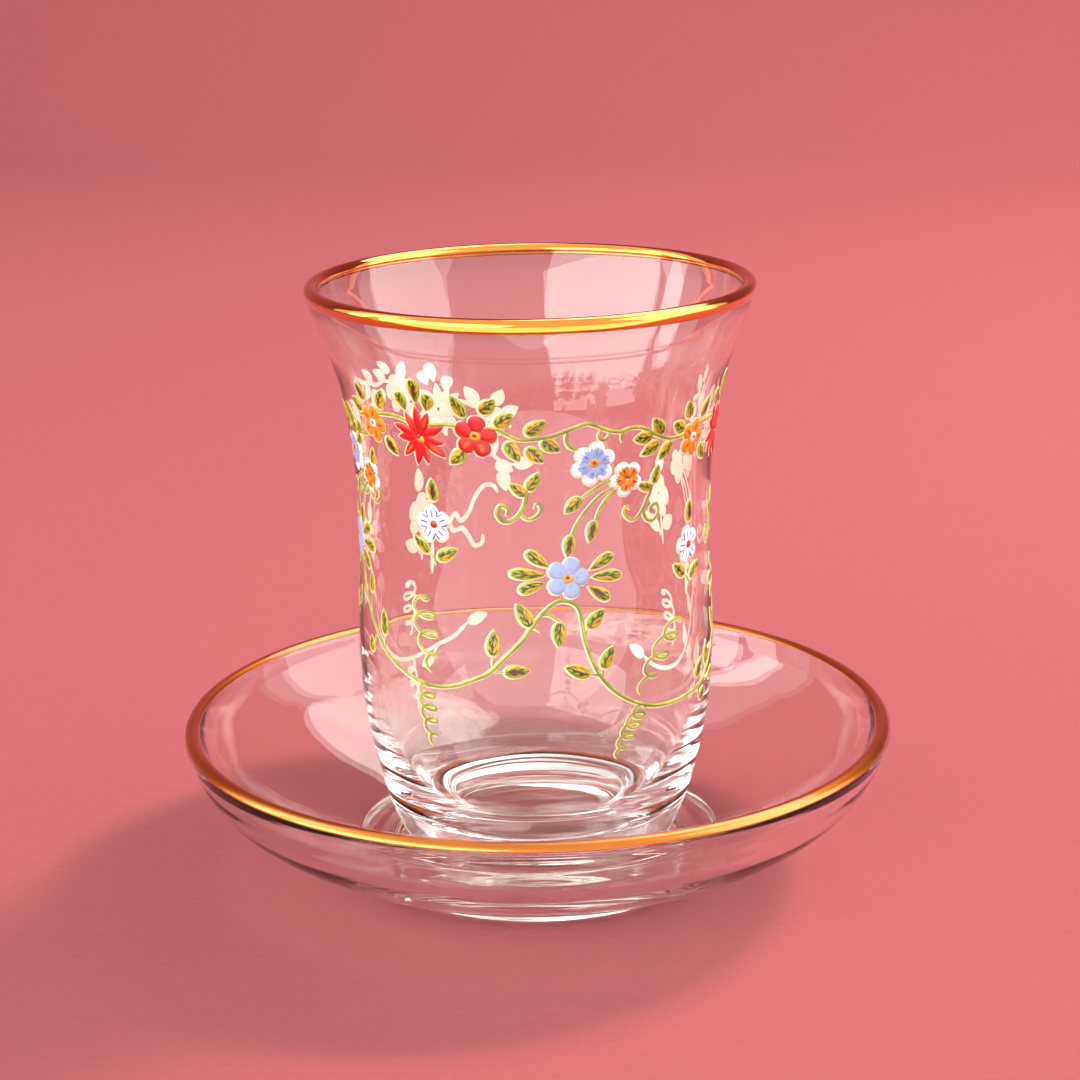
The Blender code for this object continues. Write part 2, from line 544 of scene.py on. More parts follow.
def leaf(azimuth, height, heading, length, breadth=2.05, shape="leaf", tone=None):
    """A leaf from its stalk end, on a cream ground that shows along its lower left."""
    if tone is None:
        tone = (azimuth * 0.37 + height * 0.61) % 1
    ground = shifted(azimuth, height, heading, *LEAF_GROUND_SHIFT)
    longer, broader = LEAF_GROUND_MARGIN
    sow(GROUND + shape, *ground, heading, length + longer, breadth + broader)
    sow(shape, azimuth, height, heading, length, breadth, tone)


def flower(azimuth, height, radius, petals, first, finish, shape="petal", breadth=0.82, uneven=0.0):
    """Petals round a middle, each on its own cream ground, their lengths and headings uneven if asked."""
    longer, broader = PETAL_GROUND_MARGIN
    for k in range(petals):
        sway = math.sin(k * 2.4 + azimuth)
        heading = first + 360 * k / petals + (5 * sway if uneven else 0)
        length = radius * (1 + uneven * math.sin(k * 3.7 + height))
        start = shifted(azimuth, height, heading, PETAL_START * radius)
        ground = shifted(*start, heading, *PETAL_GROUND_SHIFT)
        sow(GROUND + shape, *ground, heading, length * PETAL_LENGTH + longer, radius * breadth + broader)
        sow(finish, *start, heading, length * PETAL_LENGTH, radius * breadth, k / petals)


def disc(azimuth, height, radius, finish, stretch=1.0):
    """A round dab, centred on the place."""
    start = shifted(azimuth, height, 0, -radius)
    sow(finish, *start, 0, 2 * radius, 2 * radius * stretch)


def stroke(points, weight=1.0, kind="vine"):
    """Notes a raised line through places on the glass, its weight a share of the full width."""
    paths[kind].append((points, weight))


def corkscrew(start, end, loops, reach, rise=1.0):
    """A tendril that runs from start to end in flat loops on its right-hand side."""
    points = []
    steps = loops * LOOP_STEPS
    for k in range(steps + 1):
        t = k / steps
        turn = 2 * math.pi * loops * t
        swell = math.sin(math.pi * min(t * 0.86 + 0.12, 1)) ** 0.6
        across = start[0] + (end[0] - start[0]) * t + reach * swell * math.sin(turn)
        climb = start[1] + (end[1] - start[1]) * t + rise * swell * (1 - math.cos(turn))
        points.append((across, climb))
    stroke(points, THIN)


def garland(turn, drop, droop=0.0, last=90):
    """One length of the garland under the lip, turned round the glass, its left end drooping if asked."""
    def at(azimuth, height):
        return azimuth + turn, height + drop + droop * min(azimuth, 0)

    def leaves(rows, **rest):
        for azimuth, height, heading, length in rows:
            if azimuth < last:
                leaf(*at(azimuth, height), heading, length, **rest)

    leaves([
        (-56.3, 73.4, 117, 2.8), (-58.7, 71.9, 153, 2.9), (-49.7, 72.8, 58, 3.4), (-48.6, 68.7, -47, 3.1),
        (-19.0, 73.2, 120, 3.6), (-14.5, 73.9, 44, 3.1), (-10.7, 72.1, 35, 3.2), (-1.9, 70.9, 37, 3.3),
        (-7.5, 69.9, -59, 3.3), (-1.8, 69.0, -43, 3.1), (2.4, 70.0, -31, 3.0), (-19.8, 68.5, -137, 3.2),
        (41.7, 69.1, 131, 3.4), (37.5, 69.1, 180, 3.2), (40.4, 68.0, -156, 3.4), (45.6, 67.7, -135, 3.2),
    ])
    leaves([(-38.1, 73.3, 107, 2.8), (-34.1, 74.6, 83, 3.6), (-31.1, 73.6, 70, 2.7)], shape="drop")
    vine = [
        (-62.0, 70.9), (-52.6, 71.8), (-47.6, 72.1), (-41.8, 72.2), (-34.5, 71.5), (-24.8, 71.9),
        (-16.1, 71.7), (-10.7, 71.7), (-7.5, 71.0), (-3.8, 70.2), (1.6, 70.3), (5.7, 70.6),
        (10.5, 71.4), (15.2, 72.1), (17.8, 71.8), (20.4, 71.2), (23.1, 70.7), (26.2, 70.5),
        (28.9, 70.8), (32.3, 70.7), (35.0, 70.2), (38.3, 69.3), (44.5, 68.2), (51.0, 68.2)]
    stroke([at(*p) for p in vine if p[0] < last + 6])
    if last > 20:
        stroke([at(*p) for p in [(10.0, 71.3), (9.6, 70.2), (10.3, 69.2), (12.0, 68.6), (13.2, 68.5)]])
        stroke([at(*p) for p in [
            (22.6, 70.8), (21.9, 69.8), (20.6, 69.5), (19.4, 69.9), (19.3, 70.7), (20.4, 71.1)]], 0.9)
        stroke([at(*p) for p in [(29.6, 70.8), (27.2, 70.4), (26.4, 69.7), (26.9, 68.9)]], 0.9)
    flower(*at(-34.4, 69.7), 4.15, 11, 92, "red_ray", "ray", 0.36, 0.1)
    disc(*at(-34.0, 69.4), 0.62, "yellow", 0.9)
    disc(*at(-34.6, 69.8), 0.4, "brown")
    flower(*at(-16.5, 70.5), 3.05, 5, 80, "red")
    disc(*at(-16.4, 70.6), 0.85, "yellow")
    disc(*at(-16.6, 70.7), 0.38, "brown")
    flower(*at(-53.9, 70.3), 2.7, 5, 70, "orange")
    disc(*at(-53.7, 70.4), 0.8, "white_middle")
    disc(*at(-53.7, 70.4), 0.4, "red_middle")


def pair_with_buds(turn, drop):
    """The blue and the orange flower with white edges, and the three buds that hang from them."""
    def at(azimuth, height):
        return azimuth + turn, height + drop

    flower(*at(18.1, 66.3), 3.1, 6, 20, "blue_on_white", breadth=0.74)
    disc(*at(18.0, 66.4), 0.85, "yellow", 0.85)
    disc(*at(18.0, 66.5), 0.42, "red_middle")
    flower(*at(29.1, 63.6), 2.5, 5, 45, "orange_on_white")
    disc(*at(29.1, 63.8), 0.32, "brown", 0.7)
    stroke([at(*p) for p in [(25.2, 63.6), (21.5, 63.3), (17.7, 62.4), (14.4, 61.5)]], THIN)
    stroke([at(*p) for p in [(25.0, 62.6), (20.6, 61.7), (16.9, 60.2), (13.6, 58.3), (11.3, 56.2)]], THIN)
    stroke([at(*p) for p in [(26.0, 62.2), (22.8, 61.2), (20.5, 59.8), (18.9, 58.0)]], THIN)
    leaf(*at(14.4, 61.6), -138, 3.0, 1.9, tone=0.2)
    leaf(*at(11.3, 56.4), -100, 3.2, 1.7, tone=0.95)
    leaf(*at(18.7, 58.2), -104, 3.1, 1.7, tone=0.95)


def left_tendril(turn, drop):
    """A seedling: two leaves at the top of a bent stem that ends in spirals to both sides."""
    stroke([(a + turn, h + drop) for a, h in [
        (-1.9, 63.2), (-2.3, 61.7), (-3.6, 60.1), (-6.2, 58.8), (-9.4, 58.5), (-11.2, 59.6), (-9.9, 60.8),
        (-7.7, 60.3), (-8.3, 59.4)]])
    stroke([(a + turn, h + drop) for a, h in [
        (-4.4, 59.8), (-2.0, 58.9), (0.6, 59.2), (2.2, 60.2), (1.2, 61.1), (0.1, 60.4)]], THIN)
    leaf(-1.8 + turn, 62.9 + drop, 58, 3.1, 1.7)
    leaf(-2.2 + turn, 62.2 + drop, 142, 2.9, 1.6)


def right_tendril(turn, drop):
    """The seedling on the other side, which leans the other way."""
    stroke([(a + turn, h + drop) for a, h in [
        (39.3, 62.3), (38.0, 60.9), (36.6, 59.8), (35.8, 58.4), (37.2, 57.2), (39.8, 56.9), (41.9, 57.9),
        (40.8, 59.2), (38.5, 58.7), (39.2, 57.8)]])
    stroke([(a + turn, h + drop) for a, h in [
        (36.2, 59.4), (33.6, 57.8), (30.9, 57.6), (28.6, 58.7), (29.4, 59.7), (30.6, 59.1)]], THIN)
    leaf(39.4 + turn, 62.1 + drop, 76, 2.8, 1.6)
    leaf(38.7 + turn, 61.5 + drop, 158, 2.8, 1.5)


def periwinkle(azimuth, height):
    """A pale blue flower between two fans of three club-shaped leaves, over each peak of the swag."""
    flower(azimuth, height, 3.0, 5, 72, "periwinkle")
    disc(azimuth, height - 0.1, 0.8, "yellow")
    disc(azimuth - 0.1, height + 0.1, 0.34, "red_middle")
    for right, up, heading, length in [
            (-5.6, 1.6, 143, 3.9), (-6.6, 0.6, 177, 5.0), (-6.9, -0.5, -163, 3.8),
            (6.9, 0.9, 29, 4.0), (7.5, -0.1, -2, 4.6), (6.4, -1.4, -33, 3.8)]:
        leaf(azimuth + right, height + up, heading, length, 1.75, "drop")


def sprig(azimuth, height, lean=0.0):
    """A white flower with blue strokes, a bud leaf above it and two leaves on a short stem below."""
    flower(azimuth, height, 2.75, 5, 98 + lean, "white_blue", breadth=0.84)
    disc(azimuth, height, 0.62, "red_middle")
    leaf(azimuth + 0.5, height + 3.3, 92 + lean, 3.3, 2.0, tone=0.95)
    leaf(azimuth - 2.2, height - 4.2, 142, 3.4, 1.8)
    leaf(azimuth + 0.8, height - 4.9, 29, 3.7, 1.9)
    left_stalk = [(-2.2, -4.2), (-0.6, -4.9), (0.2, -5.8)]
    right_stalk = [(0.8, -4.9), (0.2, -5.4)]
    stem = [(-0.7, -2.6), (-1.1, -5.0), (-1.3, -7.0)]
    for line, weight, kind in [
            (left_stalk, 0.7, "vine"), (right_stalk, 0.7, "vine"), (stem, 0.8, "white_stem")]:
        stroke([(azimuth + right, height + up) for right, up in line], weight, kind)


SWAG = [
    (-153.0, 28.8), (-148.0, 27.2), (-142.0, 26.5), (-134.0, 25.9), (-125.0, 25.6), (-116.0, 26.4),
    (-108.0, 28.4), (-101.0, 31.2), (-95.0, 34.6), (-91.0, 38.4), (-88.5, 42.0), (-86.3, 45.6),
    (-83.5, 47.8), (-79.5, 48.5), (-75.5, 48.0), (-71.8, 46.4), (-70.1, 44.3), (-66.4, 42.5),
    (-59.1, 38.7), (-54.9, 37.1), (-49.3, 35.8), (-42.8, 34.7), (-37.0, 34.1), (-30.5, 34.1),
    (-24.9, 34.7), (-19.8, 35.7), (-14.9, 36.8), (-9.6, 39.2), (-4.3, 41.6), (-1.2, 43.6), (3.3, 46.0),
    (7.5, 47.1), (11.7, 46.7), (13.7, 45.5), (14.5, 43.2), (15.2, 41.3), (17.2, 38.5), (19.7, 36.1),
    (24.1, 33.7), (29.8, 31.8), (36.4, 30.4), (42.1, 29.8), (49.1, 29.6), (55.8, 29.7), (61.0, 29.9),
    (67.0, 30.6), (73.0, 32.4), (78.5, 34.8), (81.8, 36.8), (86.3, 39.1), (90.5, 40.1), (94.7, 39.8),
    (96.9, 38.4), (97.8, 36.2), (99.0, 33.8), (101.5, 30.8), (106.0, 27.8), (112.0, 25.4),
    (120.0, 23.8), (128.0, 23.4), (134.0, 24.2),
]


def swag_leaves(rows, turn=0.0, drop=0.0):
    """Leaves of the swag, each on a short stalk: where it sits, heading, length and the stalk's root."""
    for azimuth, height, heading, length, root in rows:
        leaf(azimuth + turn, height + drop, heading, length, 2.0)
        arch = 0.5 if heading == HANGING else 0.1
        middle = ((azimuth + root[0]) / 2 + turn, (height + root[1]) / 2 + drop + arch)
        stroke([(root[0] + turn, root[1] + drop), middle, (azimuth + turn, height + drop)], 0.7)


# The leaves on both slopes of a peak of the swag.
HANGING = -92
RISE = [
    (-1.2, 43.6, 122, 3.9, (1.3, 42.9)),
    (-13.3, 39.3, 88, 3.8, (-13.4, 37.6)),
    (-9.9, 37.1, 5, 3.7, (-14.0, 37.1)),
    (7.3, 44.2, HANGING, 3.6, (1.5, 45.2)),
]
FALL = [
    (16.1, 43.0, 45, 3.5, (14.6, 41.3)),
    (20.6, 37.0, 61, 3.5, (20.6, 35.4)),
    (16.7, 36.3, 158, 3.9, (20.2, 35.9)),
]


def plant():
    """Everything that is enamelled. The garland and the swag stop short of each other at the back."""
    garland(0, 0)
    garland(110, -3, last=-5)
    garland(-110, 0, 0.18)
    for row in [
            (-163, 55.5, 118, 3.3), (-166, 54.0, -150, 3.0),
            (-168, 52.6, -100, 3.4), (-173, 53.6, 172, 3.2)]:
        leaf(*row)
    stroke([(-159.5, 60.5), (-163.0, 57.0), (-166.0, 55.0), (-169.5, 53.9), (-173.0, 53.6)], 0.9)
    stroke([
        (-166.2, 48.9), (-164.8, 50.1), (-161.4, 50.4), (-157.4, 48.7), (-154.6, 46.6), (-151.6, 45.9),
        (-149.0, 46.9), (-147.0, 45.9), (-148.6, 44.7), (-152.0, 44.8), (-154.6, 43.6), (-157.2, 41.9),
        (-160.2, 42.2), (-160.4, 43.4)])
    leaf(-69.0, 70.3, 151, 2.4)
    leaf(-67.6, 69.3, -129, 2.8)
    leaf(-63.5, 69.7, -111, 2.1)

    pair_with_buds(0, 0)
    pair_with_buds(-90, -1.5)
    pair_with_buds(84, -7)
    left_tendril(0, 0)
    left_tendril(84, -8.4)
    right_tendril(0, 0)
    right_tendril(-98, 1.6)
    periwinkle(10.1, 50.3)
    periwinkle(-80.0, 49.8 + 1.6)
    periwinkle(93.5, 43.4)
    sprig(-132.4, 48.3)
    sprig(-32.3, 57.3)
    sprig(57.8, 51.6, 4)
    sprig(126.2, 51.2, 4)

    stroke(SWAG)
    swag_leaves(RISE + FALL)
    swag_leaves(RISE, 83, -7)
    swag_leaves(FALL, 83, -7)
    swag_leaves(FALL, -100.5, 4.2)
    swag_leaves([
        (-55.3, 39.3, 96, 3.8, (-55.4, 37.4)),
        (-63.6, 35.9, 102, 2.3, (-60.5, 38.8)),
        (-64.4, 44.6, 92, 2.8, (-64.2, 41.8)),
        (61.5, 31.5, 58, 3.0, (60.5, 30.0)),
        (65.1, 27.6, 51, 2.2, (62.6, 30.3)),
        (-136.0, 24.6, -20, 3.0, (-139.5, 26.2)),
        (-154.0, 29.0, 160, 3.4, (-153.0, 28.8)),
        (134.5, 24.3, 20, 3.4, (134.0, 24.2)),
    ])
    corkscrew((-38.4, 46.4), (-34.0, 36.0), 4, 4.3)
    corkscrew((-36.8, 33.9), (-34.8, 25.0), 5, 3.0, 0.8)
    corkscrew((51.0, 41.2), (34.0, 32.2), 4, 4.3)
    corkscrew((35.0, 30.2), (26.2, 23.2), 5, 3.0, 0.8)
    corkscrew((-127.0, 38.0), (-124.6, 29.4), 4, 3.8)
    corkscrew((-123.0, 25.6), (-121.0, 17.6), 4, 2.8, 0.8)
    corkscrew((124.0, 36.0), (117.0, 28.0), 4, 3.8)


# Materials.

def own(tree, name):
    """A number that the mesh's own points carry."""
    return node(tree, "ShaderNodeAttribute", {"attribute_name": name}).of("Fac")


def new_material(name):
    """A material, its tree and its shader."""
    material = bpy.data.materials.new(name)
    material.use_nodes = True
    return material, material.node_tree, material.node_tree.nodes["Principled BSDF"]


def new_enamel(name):
    """A material, its tree, the place along and across a stamp, its tone, and 0 in front to 1 behind."""
    material, tree, _ = new_material(name)
    mark = node(tree, "ShaderNodeAttribute", {"attribute_name": "paint"})
    parts = node(tree, "ShaderNodeSeparateXYZ", None, {0: mark.of("Vector")})
    return material, tree, parts.of("X"), parts.of("Y"), own(tree, "tone"), parts.of("Z")


def srgb(red, green, blue):
    """A colour read in 0 to 255 as the shader's linear numbers."""
    shares = [c / 255 for c in (red, green, blue)]
    return tuple(c / 12.92 if c <= 10 / 255 else ((c + 0.055) / 1.055) ** 2.4 for c in shares)


CREAM = srgb(255, 248, 230)


def paint(red, green, blue):
    """A colour as the photo's bright light shows it, brought back to what the enamel reflects."""
    return tuple(PAINT_REFLECTS * c for c in srgb(red, green, blue))


def ramp(tree, value, *stops):
    """The colour at a value, between stops that each give a place and a colour."""
    return node(tree, "ShaderNodeValToRGB", {"stops": stops}, {"Fac": value})


def mix(tree, mask, below, above):
    """The colour below where the mask is 0 and the one above where it is 1."""
    values = {"Factor": mask}
    for key, colour in ((6, below), (7, above)):
        values[key] = colour if isinstance(colour, Value) else (*colour, 1)
    return node(tree, "ShaderNodeMix", {"data_type": "RGBA"}, values, 2)


def step(tree, value, low, high):
    """0 below low, 1 above high and smooth between them."""
    return node(tree, "ShaderNodeMapRange", {"interpolation_type": "SMOOTHSTEP"},
                {"Value": value, "From Min": low, "From Max": high})


def fade(tree, value, low, high):
    """1 below low, 0 above high and smooth between them."""
    return step(tree, value * -1, -high, -low)


def noise(tree, scale, vector=None, detail=2.0):
    """Soft noise in the object's own coordinates, or over a given vector."""
    if vector is None:
        vector = node(tree, "ShaderNodeTexCoord").of("Object")
    return node(tree, "ShaderNodeTexNoise", None, {"Vector": vector, "Scale": scale, "Detail": detail})


def bump(tree, height, strength, relief):
    return node(tree, "ShaderNodeBump", None, {"Strength": strength, "Distance": relief, "Height": height})


def surfaced(tree, colour, height, back=None):
    """Fired enamel: the colour on a cream back, brush marks, and a glossy melt on top."""
    if back:
        colour = mix(tree, step(tree, back, 0.6, 0.8), colour, CREAM)
    feed(tree, tree.nodes["Principled BSDF"], {
        "Base Color": colour,
        "Coat Weight": ENAMEL_COAT,
        "Coat Roughness": 0.12,
        "IOR": ENAMEL_IOR,
        "Roughness": height * 0.14 + (ENAMEL_ROUGHNESS - 0.07),
        "Normal": bump(tree, height, 0.5, BRUSH_RELIEF),
    })


def leaf_enamel():
    """Slanting strokes from dark olive to lime, a dark vein, ochre on one flank and a lime rim."""
    material, tree, t, s, tone, back = new_enamel("leaf_enamel")
    fibres = noise(tree, 1.0, xyz(tree, t * 4, s * 4 + t * 3, tone * 40), 2)
    side = step(tree, tone, 0.49, 0.51) * 2 - 1
    flank = s * side
    strokes = (t * 19 - abs(s) * 7 + tone * 9 + fibres * 9).math("SINE")
    greens = [(0.32, paint(46, 56, 4)), (0.5, paint(118, 134, 10)), (0.68, paint(204, 212, 40))]
    body = ramp(tree, strokes * 0.16 + fibres, *greens)
    middle = fade(tree, abs(s), 0.2, 0.6)
    brown = step(tree, tone, 0.86, 0.9) * middle * fade(tree, abs(t - 0.46), 0.16, 0.36)
    body = mix(tree, brown, body, paint(104, 30, 4))
    off = (t - 0.4) / 0.3
    away = (flank - 0.36) / 0.4
    accent = step(tree, (off * off + away * away) * -1 + (fibres - 0.5) * 1.6, -1.0, -0.3)
    ochre = ramp(tree, strokes * 0.1 + fibres, (0.36, paint(204, 128, 8)), (0.6, paint(254, 200, 38)))
    body = mix(tree, accent * (1 - brown) * 0.9, body, ochre)
    bend = s - (t * 5).math("SINE") * 0.12
    vein = fade(tree, abs(bend), 0.05, 0.15) * fade(tree, abs(t - 0.45), 0.34, 0.42)
    body = mix(tree, vein * 0.85, body, paint(40, 34, 2))
    sides = step(tree, abs(s) + (fibres - 0.5) * 0.3, 0.56, 0.76)
    rim = sides.math("MAXIMUM", step(tree, abs(t - 0.5), 0.4, 0.46))
    edge = mix(tree, step(tree, flank, -0.2, 0.3), paint(208, 222, 38), paint(242, 226, 52))
    surfaced(tree, mix(tree, rim * 0.9, body, edge), fibres, back)
    return material


def vine_enamel():
    """Patchy lime, darker along one side, with a cream back."""
    material, tree, *_ = new_enamel("vine_enamel")
    patches = noise(tree, 420, None, 3)
    colour = ramp(tree, patches, (0.38, paint(150, 164, 18)), (0.62, paint(212, 216, 50)))
    dark = step(tree, own(tree, "across"), 0.1, 0.75)
    surfaced(tree, mix(tree, dark * 0.55, colour, paint(108, 114, 12)), patches, own(tree, "over") + 0.5)
    return material


def ground_enamel():
    """The cream coat that every motif is painted on, and that shows through the glass from behind."""
    material, tree, *_, back = new_enamel("ground_enamel")
    patches = noise(tree, 300, None, 3)
    colour = ramp(tree, patches, (0.35, srgb(226, 214, 178)), (0.65, srgb(238, 229, 198)))
    surfaced(tree, colour, patches, back + own(tree, "over") * 2)
    return material


def petal_enamel(
        name, main, shade, lines, line_colour, reach=(0.3, 0.8), some=False, rim=None, ragged=0.0):
    """A petal painted from its middle outwards, with thin lines along it on all or some of the petals.

    The lines' reach is in shares of the petal's length. A rim may be left in another colour.
    """
    material, tree, t, s, tone, back = new_enamel(name)
    brush = noise(tree, 1.0, xyz(tree, t * 2.5, s * 6, tone * 30), 3)
    colour = ramp(tree, brush, (0.36, shade), (0.58, main))
    waves = (s * (math.pi * lines) + (brush - 0.5) * 1.6).math("COSINE")
    near, far = reach
    mask = step(tree, waves, 0.6, 0.85) * step(tree, t, near, near + 0.08)
    mask = mask * fade(tree, t, far - 0.12, far)
    if some:
        side = s * ((tone * 37).math("SINE") * 3)
        chosen = mask * step(tree, (tone * 23).math("SINE"), 0.1, 0.3)
        mask = chosen.math("MAXIMUM", step(tree, side, 1.5, 2.2) * 0.7)
    colour = mix(tree, mask, colour, line_colour)
    if rim:
        edge = t + (brush - 0.5) * ragged + abs(s) * 0.16
        end = step(tree, edge, RIM_FROM, RIM_FROM + 0.05)
        colour = mix(tree, end.math("MAXIMUM", step(tree, abs(s), 0.76, 0.88)), colour, rim)
    surfaced(tree, colour, brush, back)
    return material


def plain_enamel(name, first, second):
    """The finely mottled enamel of the dots."""
    material, tree, *_ = new_enamel(name)
    patches = noise(tree, 1500, None, 2)
    surfaced(tree, ramp(tree, patches, (0.4, first), (0.6, second)), patches)
    return material


def gilding(name, first, second, roughness):
    """Bright gold: redder where the film is thin, with faint marks of the brush round the lip."""
    material, tree, shader = new_material(name)
    drift = noise(tree, 60, None, 4)
    feed(tree, shader, {
        "Metallic": 1,
        "Coat Weight": 1.0,
        "Coat Roughness": 0.03,
        "Base Color": ramp(tree, drift, (0.35, first), (0.65, second)),
        "Roughness": drift * 0.12 + roughness,
        "Normal": bump(tree, noise(tree, 700, None, 3), 0.25, GOLD_RELIEF),
    })
    return material


def clear_glass(name, tint, scale, ripple):
    """Pressed clear glass, with faint ring-like ripples, in millimetres, that bend what is behind it."""
    material, tree, shader = new_material(name)
    spot = node(tree, "ShaderNodeTexCoord").of("Object")
    parts = node(tree, "ShaderNodeSeparateXYZ", None, {0: spot})
    ringed = xyz(tree, from_axis(tree, spot), parts.of("Z"), (parts.of("X") + parts.of("Y")) * 0.12)
    feed(tree, shader, {
        "Base Color": (*tint, 1),
        "Roughness": 0.0,
        "IOR": GLASS_IOR,
        "Transmission Weight": 1,
        "Normal": bump(tree, noise(tree, scale, ringed, 2), 0.4, ripple * MM),
    })
    return material


def stage_floor():
    """The rose backdrop: a level sheet that curves up behind, with a fine grain."""
    material, tree, shader = new_material("floor")
    grain = noise(tree, 900, None, 4)
    colour = ramp(tree, grain, (0.3, (0.25, 0.053, 0.06)), (0.7, (0.275, 0.059, 0.067)))
    feed(tree, shader, {"Base Color": colour, "Roughness": 0.85})
    curve = arc((FLOOR_TURN, FLOOR_LOW + FLOOR_CURVE), FLOOR_CURVE, -90, 0, 24)
    line = [(-FLOOR_HALF, FLOOR_LOW), *curve, (FLOOR_TURN + FLOOR_CURVE, FLOOR_TOP)]
    points = [(x, y, z) for y, z in line for x in (-FLOOR_HALF, FLOOR_HALF)]
    floor = piece("floor", points, [(k, k + 1, k + 3, k + 2) for k in range(0, len(points) - 2, 2)])
    floor.data.materials.append(material)


def light(name, place, size, power, colour, target=(0, 0, 45 * MM)):
    """A rectangular lamp that faces its target."""
    lamp = bpy.data.lights.new(name, "AREA")
    lamp.shape = "RECTANGLE"
    lamp.size, lamp.size_y = size
    lamp.energy = power
    lamp.color = colour
    obj = bpy.data.objects.new(name, lamp)
    bpy.context.scene.collection.objects.link(obj)
    toward = Vector(place) - Vector(target)
    obj.matrix_world = Matrix.Translation(place) @ toward.to_track_quat("Z", "Y").to_matrix().to_4x4()
    return obj


def studio():
    """Bounces enough for many walls of glass, a pale sky over a dusky horizon, and the lamps."""
    scene = bpy.context.scene
    scene.view_settings.view_transform = "Standard"
    scene.cycles.max_bounces = 32
    scene.cycles.transmission_bounces = 32
    scene.cycles.glossy_bounces = 24
    scene.cycles.diffuse_bounces = 16
    scene.cycles.blur_glossy = 0
    world = bpy.data.worlds.new("studio")
    scene.world = world
    world.use_nodes = True
    tree = world.node_tree
    around = node(tree, "ShaderNodeTexCoord").of("Generated")
    up = node(tree, "ShaderNodeSeparateXYZ", None, {0: around}).of("Z")
    horizon = [(0.0, (0.34, 0.28, 0.28)), (0.03, (0.55, 0.5, 0.5))]
    sky = ramp(tree, up, *horizon, (0.1, (1.05, 1.02, 1.01)), (1.0, (1.0, 0.98, 0.96)))
    feed(tree, tree.nodes["Background"], {"Color": sky, "Strength": 1.0})
    light("window", (0.6, -0.1, 0.35), (0.6, 0.7), 3.5, (1, 0.98, 0.96))
    light("front", (-0.9, -0.85, 0.5), (1.7, 1.0), 23, (1, 0.99, 0.98))
    light("back", (0.45, 0.6, 1.15), (1.0, 0.7), 7, (1, 0.97, 0.95))
    light("left_strip", (-0.6, 0.05, 0.4), (0.15, 0.6), 1.2, (1, 0.98, 0.97))
    # It casts the shadow. Mirrored in the saucer it would be a hard white patch.
    key = light("key", (0.75, 0.5, 0.85), (0.28, 0.28), 21, (1, 0.98, 0.96))
    key.visible_camera = key.visible_glossy = key.visible_transmission = False
    # Something white lies in front, and only the glass's mirror image of it shows.
    card = light("card", (0, -0.95, 0), (3.4, 1.7), 36, (1, 0.99, 0.98), (0, -0.95, 1))
    card.visible_camera = card.visible_transmission = card.visible_diffuse = False


def add_camera():
    """The camera where the photo was taken from, slightly rolled."""
    scene = bpy.context.scene
    forward = Vector((math.sin(PAN) * math.cos(PITCH), math.cos(PAN) * math.cos(PITCH), -math.sin(PITCH)))
    right = Vector((math.cos(PAN), -math.sin(PAN), 0))
    up = right.cross(forward)
    level = right * math.cos(ROLL) + up * math.sin(ROLL)
    rise = up * math.cos(ROLL) - right * math.sin(ROLL)
    camera = bpy.data.objects.new("camera", bpy.data.cameras.new("camera"))
    camera.data.lens = LENS
    camera.data.sensor_width = SENSOR_WIDTH
    camera.data.clip_start = 0.01
    turn = Matrix((level, rise, -forward)).transposed().to_4x4()
    camera.matrix_world = Matrix.Translation(EYE) @ turn
    scene.collection.objects.link(camera)
    scene.camera = camera


def on_root(obj, material=None):
    """Hands a finished piece to the frame, with its material if it has none yet."""
    if material:
        obj.data.materials.clear()
        obj.data.materials.append(material)
    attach(obj, "root")


def above(points, low):
    """The stretch of a line over a height, cut exactly there."""
    kept = []
    for a, b in zip(points, points[1:] + points[-1:]):
        if a[1] > low:
            kept.append(a)
        if (a[1] > low) != (b[1] > low):
            kept.append((a[0] + (b[0] - a[0]) * (low - a[1]) / (b[1] - a[1]), low))
    return kept


def gilt_band(name, run, material):
    """A thin closed hoop of gold that follows a run of the outline."""
    outer = offset(run, -GOLD_HALF_THICKNESS)
    inner = offset(run, GOLD_HALF_THICKNESS)
    obj = turned(name, outer + inner[::-1], True)
    on_root(obj, material)


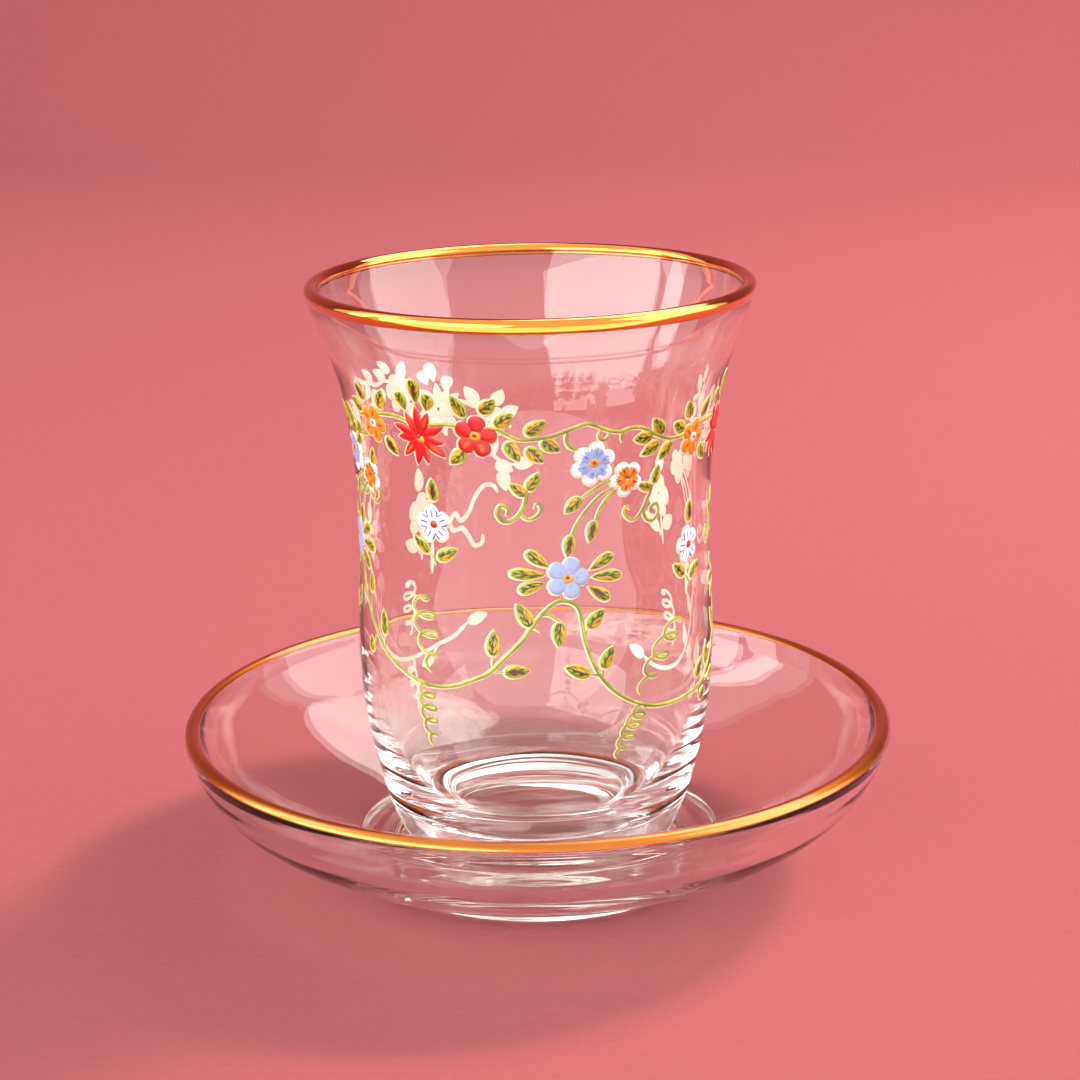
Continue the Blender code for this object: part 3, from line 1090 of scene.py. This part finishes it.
def enamelled(glass):
    """Makes every bed of stamps and every set of strokes, and lays them on the glass."""
    grounds = ground_enamel()
    leaves = leaf_enamel()
    petals = {
        "red_ray": (
            "ray", paint(244, 10, 2), paint(206, 4, 0), 1.0, paint(250, 116, 24), (0.35, 0.85), True),
        "red": (
            "petal", paint(242, 12, 2), paint(204, 6, 0), 1.0, paint(250, 120, 22), (0.3, 0.8), True),
        "orange": (
            "petal", paint(252, 176, 30), paint(240, 132, 10), 1.6, paint(206, 78, 6)),
        "blue_on_white": (
            "petal", paint(178, 208, 255), paint(150, 182, 248), 1.8, paint(120, 144, 220),
            (0.3, 0.6), False, srgb(253, 246, 244), 0.9),
        "orange_on_white": (
            "petal", paint(252, 160, 10), paint(242, 128, 6), 1.6, paint(150, 50, 4),
            (0.3, 0.62), False, srgb(253, 246, 240), 0.6),
        "white_blue": (
            "petal", srgb(238, 235, 240), srgb(222, 220, 236), 2.8, paint(78, 100, 200), (0.28, 0.8)),
        "periwinkle": (
            "petal", paint(190, 216, 255), paint(176, 202, 254), 1.6, paint(146, 166, 230), (0.3, 0.46)),
    }
    dots = {
        "yellow": ("yellow_enamel", paint(250, 170, 12), paint(252, 206, 60)),
        "white_middle": ("white_enamel", srgb(250, 240, 230), srgb(255, 250, 244)),
        "red_middle": ("red_middle_enamel", paint(214, 20, 4), paint(236, 50, 10)),
        "brown": ("brown_enamel", paint(120, 20, 4), paint(170, 40, 8)),
    }
    finishes = {"leaf": ("leaf", leaves), "drop": ("drop", leaves)}
    for name, (shape, *painting) in petals.items():
        finishes[name] = (shape, petal_enamel(name + "_enamel", *painting))
    for name, painting in dots.items():
        finishes[name] = ("dot", plain_enamel(*painting))
    tree = stamping_tree()
    for bed, points in beds.items():
        if bed.startswith(GROUND):
            shape, material = bed[len(GROUND):], grounds
            height, crown, gap = GROUND_HEIGHT, GROUND_CROWN, GROUND_GAP
        else:
            shape, material = finishes[bed]
            height, crown, gap = PAINT_HEIGHTS[shape], PAINT_CROWN, PAINT_GAP
            if bed in ("brown", "red_middle"):
                height += DARK_DOT_EXTRA
        pad = stamp("pad", EDGES[shape], height * MM, crown, gap)
        source = piece(bed, [(0, row[1] * MM, 0) for row in points], [])
        columns = {
            "turn": [math.radians(row[0]) for row in points],
            "heading": [math.radians(row[2]) for row in points],
            "length": [row[3] * MM for row in points],
            "breadth": [row[4] * MM for row in points],
            "tone": [row[5] for row in points],
        }
        for label, numbers in columns.items():
            source.data.attributes.new(label, "FLOAT", "POINT").data.foreach_set("value", numbers)
        obj = grown(source, "enamel_" + bed, tree, Stamp=pad, Glass=glass, Material=material)
        bpy.data.objects.remove(pad, do_unlink=True)
        on_root(obj)

    strokes = stroke_tree()
    cream = {"Width": 0.74 * MM, "Height": 0.045 * MM, "Aside": -0.13 * MM, "Below": -0.1 * MM,
             "Gap": GROUND_GAP, "Material": grounds}
    lime = {"Width": 0.5 * MM, "Height": 0.13 * MM, "Aside": 0.0, "Below": 0.0,
            "Gap": PAINT_GAP, "Material": vine_enamel()}
    for kind, name, inputs in [
            ("vine", "vine_ground", cream),
            ("vine", "vines", lime),
            ("white_stem", "white_stems", cream)]:
        points, edges, weights = [], [], []
        for path, weight in paths[kind]:
            first = len(points)
            points += [(math.radians(a) * DRAWING_RADIUS, h * MM, 0) for a, h in path]
            edges += [(k, k + 1) for k in range(first, len(points) - 1)]
            weights += [weight] * len(path)
        source = piece(name, points, [], edges)
        source.data.attributes.new("weight", "FLOAT", "POINT").data.foreach_set("value", weights)
        on_root(grown(source, "enamel_" + name, strokes, Glass=glass, **inputs))


def main():
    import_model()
    studio()
    add_camera()
    stage_floor()

    base, side, lip, inside = glass_parts()
    glass = turned("clear_glass", base + side + lip + inside)
    on_root(glass, clear_glass("tea_glass", (0.988, 0.994, 0.978), 150, 0.03))
    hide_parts("glass")
    saucer = turned("clear_saucer", saucer_outline())
    on_root(saucer, clear_glass("saucer_glass", (0.985, 0.99, 0.965), 190, 0.09))
    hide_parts("saucer")

    gold = gilding("gilding", srgb(242, 152, 38), srgb(252, 170, 58), 0.03)
    mouth = GLASS_BASE_Z + GLASS_HEIGHT
    run = above(side, mouth - GOLD_OUTSIDE) + lip + above(inside, mouth - GOLD_INSIDE)
    gilt_band("gilt_mouth", run, gold)
    # The saucer's gold is the lip's gilding. It is rougher, a real satin finish, and its colours are
    # deeper as painted shade, so the band looks less lit than the lip.
    shaded_satin = gilding("shaded_satin_gilding", srgb(208, 114, 26), srgb(222, 130, 36), 0.24)
    rim = arc(SAUCER_LIP_MIDDLE, SAUCER_LIP_RADIUS, SAUCER_GOLD_FROM, SAUCER_GOLD_TO, 16)
    gilt_band("gilt_saucer", rim, shaded_satin)

    plant()
    enamelled(glass)

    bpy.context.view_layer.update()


main()
